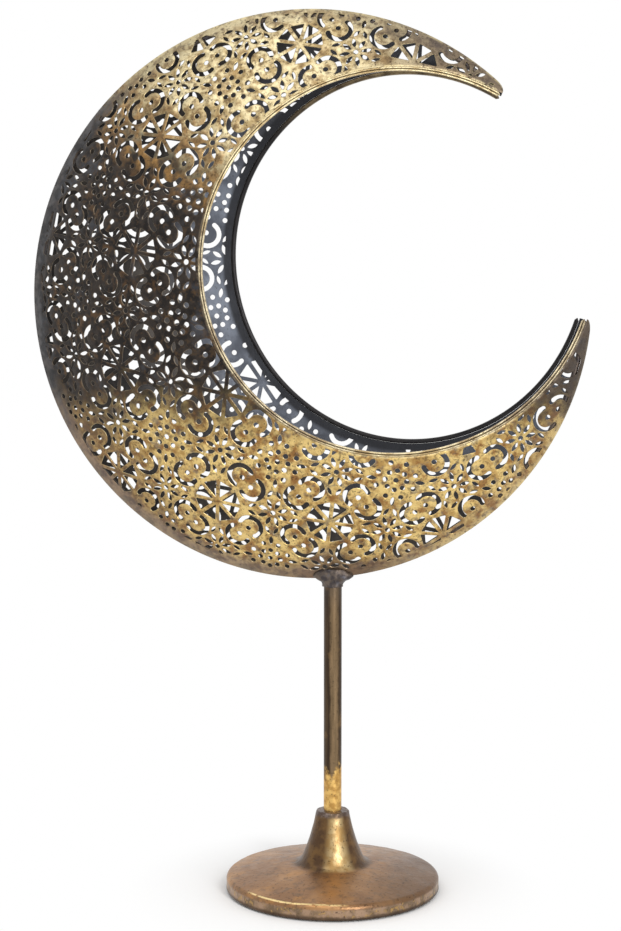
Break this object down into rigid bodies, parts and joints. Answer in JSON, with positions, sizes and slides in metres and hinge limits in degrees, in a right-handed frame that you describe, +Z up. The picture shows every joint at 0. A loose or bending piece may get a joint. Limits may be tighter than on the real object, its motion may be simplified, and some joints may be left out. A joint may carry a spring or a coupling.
{
  "type": "crescent moon ornament",
  "caption": "Free-standing crescent moon of two domed, pierced metal shells on a slim stem and a round cast base, in antique gold",
  "frame": {"origin": "middle of the flat underside that the ornament rests on, on the stem's axis", "axes": "+Z up along the stem, the crescent lies in the XZ plane with its opening towards +X, and its front faces -Y"},
  "size_m": [0.3115, 0.12, 0.4893],
  "materials": {
    "pierced_sheet": "satin",
    "edge_wire": "satin",
    "stem_bronze": "satin",
    "cast_base": "satin",
    "zinc_steel": "satin",
    "felt": "matte"
  },
  "bodies": {
    "root": {"front_shell": "pierced_sheet", "rear_shell": "pierced_sheet", "front_edge_wire": "edge_wire", "rear_edge_wire": "edge_wire", "seam_bead": "edge_wire", "stem": "stem_bronze", "stem_weld": "stem_bronze", "base": "cast_base", "flat_washer": "zinc_steel", "spring_washer": "zinc_steel", "fixing_bolt": "zinc_steel", "felt_pad": "felt"}
  },
  "joints": []
}
